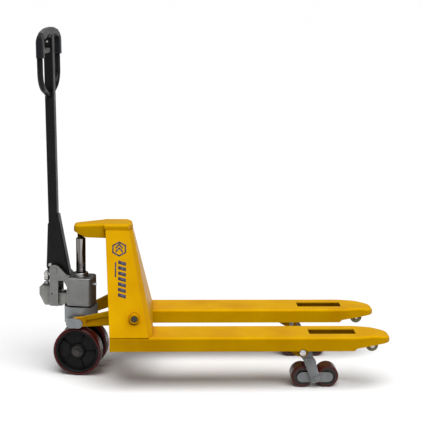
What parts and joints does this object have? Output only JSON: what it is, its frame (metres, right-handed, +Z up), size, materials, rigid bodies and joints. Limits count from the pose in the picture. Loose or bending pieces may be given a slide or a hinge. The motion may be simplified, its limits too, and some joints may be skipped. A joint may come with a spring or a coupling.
{
  "type": "hand pallet jack",
  "caption": "Hand pallet jack with raised forks, tandem load rollers, a pump unit that steers and a pull handle with a loop grip.",
  "frame": {"origin": "middle of the footprint, on the floor", "axes": "+X from the handle to the fork tips, +Y to the operator's left, +Z up"},
  "size_m": [1.2748, 0.54, 1.2737],
  "materials": {
    "yellow_paint": "satin",
    "black_paint": "satin",
    "cast_grey": "satin",
    "zinc_steel": "satin",
    "chrome": "polished",
    "dark_steel": "satin",
    "red_tyre": "satin",
    "black_hub": "matte",
    "load_tyre": "satin",
    "nylon": "satin",
    "black_plastic": "matte",
    "grey_plastic": "satin"
  },
  "bodies": {
    "seat": {"bearing_seat": "cast_grey", "thrust_bearing": "dark_steel"},
    "steering_unit": {"pump_body": "cast_grey", "ram_collar": "zinc_steel", "filler_plug": "zinc_steel", "piston_block": "cast_grey", "valve_block": "cast_grey", "wheel_axle": "zinc_steel", "axle_caps": "zinc_steel", "hub_bearings": "zinc_steel", "handle_pin": "zinc_steel", "plunger_spring": "zinc_steel"},
    "plunger": {"pump_plunger": "zinc_steel"},
    "pressing_roller": {"pressing_roller": "zinc_steel"},
    "release_chain": {"release_chain": "dark_steel"},
    "release_lever": {"release_lever": "zinc_steel"},
    "steering_wheel_left": {"steering_tyre_left": "red_tyre", "steering_hub_left": "black_hub"},
    "steering_wheel_right": {"steering_tyre_right": "red_tyre", "steering_hub_right": "black_hub"},
    "handle": {"handle_bracket": "black_paint", "bracket_bolts": "zinc_steel", "handle_tube": "black_paint", "loop_arm_left": "black_paint", "loop_arm_right": "black_paint", "grip_left": "black_plastic", "grip_right": "black_plastic", "head_bridge": "grey_plastic", "lever_pin": "zinc_steel"},
    "control_lever": {"control_lever": "black_plastic"},
    "frame": {"fork_left": "yellow_paint", "fork_right": "yellow_paint", "head_side_left": "yellow_paint", "head_side_right": "yellow_paint", "head_front": "yellow_paint", "head_cap": "yellow_paint", "lifting_horn": "yellow_paint", "horn_screw": "dark_steel", "shaft_bosses": "yellow_paint", "rocker_shaft": "dark_steel", "cross_member": "yellow_paint", "ram": "chrome", "yoke_pins": "zinc_steel", "entry_pins": "zinc_steel"},
    "entry_roller_left": {"entry_roller_left": "nylon"},
    "entry_roller_right": {"entry_roller_right": "nylon"},
    "rocker": {"rocker_tube": "yellow_paint", "rocker_arm_left": "yellow_paint", "rocker_arm_right": "yellow_paint"},
    "push_rod_left": {"push_rod_left": "yellow_paint"},
    "yoke_left": {"wheel_yoke_left": "cast_grey"},
    "bogie_left": {"bogie_left": "cast_grey"},
    "load_roller_front_left": {"load_roller_front_left": "load_tyre"},
    "load_roller_rear_left": {"load_roller_rear_left": "load_tyre"},
    "push_rod_right": {"push_rod_right": "yellow_paint"},
    "yoke_right": {"wheel_yoke_right": "cast_grey"},
    "bogie_right": {"bogie_right": "cast_grey"},
    "load_roller_front_right": {"load_roller_front_right": "load_tyre"},
    "load_roller_rear_right": {"load_roller_rear_right": "load_tyre"}
  },
  "joints": [
    {"name": "steering", "type": "hinge", "parent": "seat", "child": "steering_unit", "pos_m": [-0.48365, 0, 0], "axis": [0, 0, 1], "range_deg": [-79.3, 100.7]},
    {"name": "lift", "type": "slide", "parent": "seat", "child": "frame", "axis": [0, 0, 1], "range_m": [-0.115, 0]},
    {"name": "rocker_turn", "type": "hinge", "parent": "frame", "child": "rocker", "pos_m": [-0.28515, 0, 0.262], "axis": [0, 1, 0], "range_deg": [0, 31.11]},
    {"name": "handle_tilt", "type": "hinge", "parent": "steering_unit", "child": "handle", "pos_m": [-0.57159, 0.01662, 0.388], "axis": [0.1857, 0.9826, 0], "range_deg": [-70, 0], "stiffness_Nm_per_rad": 9, "springref_deg": 137.51},
    {"name": "pump_stroke", "type": "slide", "parent": "steering_unit", "child": "plunger", "axis": [0, 0, 1], "range_m": [-0.01751, 0], "deforming": ["plunger_spring"]},
    {"name": "pressing_roller_spin", "type": "hinge", "parent": "plunger", "child": "pressing_roller", "pos_m": [-0.6109, 0.02404, 0.366], "axis": [0.1857, 0.9826, 0], "continuous": true},
    {"name": "control_lever_pull", "type": "hinge", "parent": "handle", "child": "control_lever", "pos_m": [-0.59414, 0.02088, 1.22373], "axis": [0.1857, 0.9826, 0], "range_deg": [0, 12], "stiffness_Nm_per_rad": 1.5, "springref_deg": -14.32},
    {"name": "chain_pull", "type": "slide", "parent": "steering_unit", "child": "release_chain", "axis": [0, 0, 1], "range_m": [0, 0.00501]},
    {"name": "release_lever_turn", "type": "hinge", "parent": "steering_unit", "child": "release_lever", "pos_m": [-0.56619, 0.0156, 0.294], "axis": [0.1857, 0.9826, 0], "range_deg": [-20.01, 0]},
    {"name": "steering_wheel_left_spin", "type": "hinge", "parent": "steering_unit", "child": "steering_wheel_left", "pos_m": [-0.4739, 0.05159, 0.09], "axis": [0.1857, 0.9826, 0], "continuous": true},
    {"name": "entry_roller_left_spin", "type": "hinge", "parent": "frame", "child": "entry_roller_left", "pos_m": [0.57135, 0.19, 0.158], "axis": [0, 1, 0], "continuous": true},
    {"name": "push_rod_left_swing", "type": "hinge", "parent": "rocker", "child": "push_rod_left", "pos_m": [-0.26504, 0.19, 0.18974], "axis": [0, 1, 0], "range_deg": [-31.11, 0]},
    {"name": "yoke_left_swing", "type": "hinge", "parent": "frame", "child": "yoke_left", "pos_m": [0.31835, 0.19, 0.138], "axis": [0, 1, 0], "range_deg": [-71.61, 0]},
    {"name": "bogie_left_swing", "type": "hinge", "parent": "yoke_left", "child": "bogie_left", "pos_m": [0.36735, 0.19, 0.038], "axis": [0, 1, 0], "range_deg": [0, 71.61]},
    {"name": "load_roller_front_left_spin", "type": "hinge", "parent": "bogie_left", "child": "load_roller_front_left", "pos_m": [0.41335, 0.19, 0.04], "axis": [0, 1, 0], "continuous": true},
    {"name": "load_roller_rear_left_spin", "type": "hinge", "parent": "bogie_left", "child": "load_roller_rear_left", "pos_m": [0.32135, 0.19, 0.04], "axis": [0, 1, 0], "continuous": true},
    {"name": "steering_wheel_right_spin", "type": "hinge", "parent": "steering_unit", "child": "steering_wheel_right", "pos_m": [-0.49339, -0.05159, 0.09], "axis": [0.1857, 0.9826, 0], "continuous": true},
    {"name": "entry_roller_right_spin", "type": "hinge", "parent": "frame", "child": "entry_roller_right", "pos_m": [0.57135, -0.19, 0.158], "axis": [0, 1, 0], "continuous": true},
    {"name": "push_rod_right_swing", "type": "hinge", "parent": "rocker", "child": "push_rod_right", "pos_m": [-0.26504, -0.19, 0.18974], "axis": [0, 1, 0], "range_deg": [-31.11, 0]},
    {"name": "yoke_right_swing", "type": "hinge", "parent": "frame", "child": "yoke_right", "pos_m": [0.31835, -0.19, 0.138], "axis": [0, 1, 0], "range_deg": [-71.61, 0]},
    {"name": "bogie_right_swing", "type": "hinge", "parent": "yoke_right", "child": "bogie_right", "pos_m": [0.36735, -0.19, 0.038], "axis": [0, 1, 0], "range_deg": [0, 71.61]},
    {"name": "load_roller_front_right_spin", "type": "hinge", "parent": "bogie_right", "child": "load_roller_front_right", "pos_m": [0.41335, -0.19, 0.04], "axis": [0, 1, 0], "continuous": true},
    {"name": "load_roller_rear_right_spin", "type": "hinge", "parent": "bogie_right", "child": "load_roller_rear_right", "pos_m": [0.32135, -0.19, 0.04], "axis": [0, 1, 0], "continuous": true}
  ],
  "couplings": [
    {"joint": "rocker_turn", "follows": "lift", "rad_per_m": -4.72},
    {"joint": "pump_stroke", "follows": "handle_tilt", "m_per_rad": 0.014324},
    {"joint": "chain_pull", "follows": "control_lever_pull", "m_per_rad": 0.023873},
    {"joint": "release_lever_turn", "follows": "control_lever_pull", "ratio": -1.6667},
    {"joint": "push_rod_left_swing", "follows": "lift", "rad_per_m": 4.72},
    {"joint": "yoke_left_swing", "follows": "lift", "rad_per_m": 10.867},
    {"joint": "bogie_left_swing", "follows": "lift", "rad_per_m": -10.867},
    {"joint": "push_rod_right_swing", "follows": "lift", "rad_per_m": 4.72},
    {"joint": "yoke_right_swing", "follows": "lift", "rad_per_m": 10.867},
    {"joint": "bogie_right_swing", "follows": "lift", "rad_per_m": -10.867}
  ]
}
